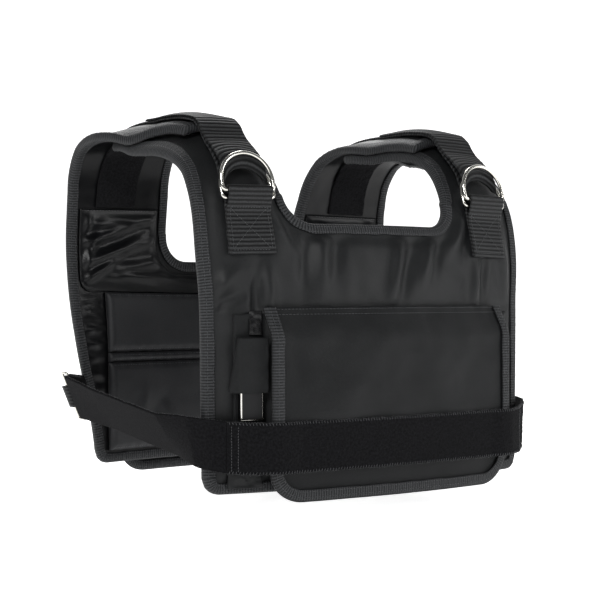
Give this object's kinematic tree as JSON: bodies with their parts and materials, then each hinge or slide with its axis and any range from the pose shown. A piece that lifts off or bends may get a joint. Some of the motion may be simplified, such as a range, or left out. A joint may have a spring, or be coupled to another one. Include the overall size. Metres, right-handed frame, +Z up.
{
  "type": "weighted vest",
  "caption": "Short padded vest with shoulder straps through double D-rings, a bound flap over filled weight pockets and a loop-faced belt.",
  "frame": {"origin": "middle of the two shoulders' underside, where the vest rests on a wearer, at half the vest's depth", "axes": "+X to the right in the picture's front view, across the shoulders; +Y from front to back; +Z up"},
  "size_m": [0.4786, 0.3478, 0.3991],
  "materials": {
    "nylon": "black padded nylon, semi-matte",
    "tape": "black folded binding tape",
    "satin": "black coated satin, glossy",
    "webbing": "black ribbed webbing",
    "loop": "black brushed loop pile",
    "twill": "charcoal twill",
    "steel": "nickel-plated bent steel wire",
    "weight": "cast weight with bright paint"
  },
  "bodies": {
    "root": {"front_panel": "nylon", "back_panel": "nylon", "weight_pockets": "nylon", "back_pad_upper": "nylon", "back_pad_lower": "nylon", "back_seam_roll": "nylon", "front_binding": "tape", "back_binding": "tape", "front_flap_binding": "tape", "back_flap_binding": "tape", "back_lining": "satin", "pocket_pull_left": "satin", "strap_left": "webbing", "strap_right": "webbing", "ring_tab_left": "webbing", "ring_tab_right": "webbing", "belt_tab_left": "webbing", "belt_tab_right": "webbing", "loop_patch_left": "loop", "loop_patch_right": "loop", "belt_front": "loop", "belt_side_left": "loop", "belt_side_right": "loop", "front_flap": "twill", "back_flap": "twill", "pocket_closure_left": "twill", "pocket_hem_left": "twill", "ring_upper_left": "steel", "ring_lower_left": "steel", "ring_upper_right": "steel", "ring_lower_right": "steel", "belt_ring_left": "steel", "belt_ring_right": "steel", "weight_left": "weight"}
  },
  "joints": []
}
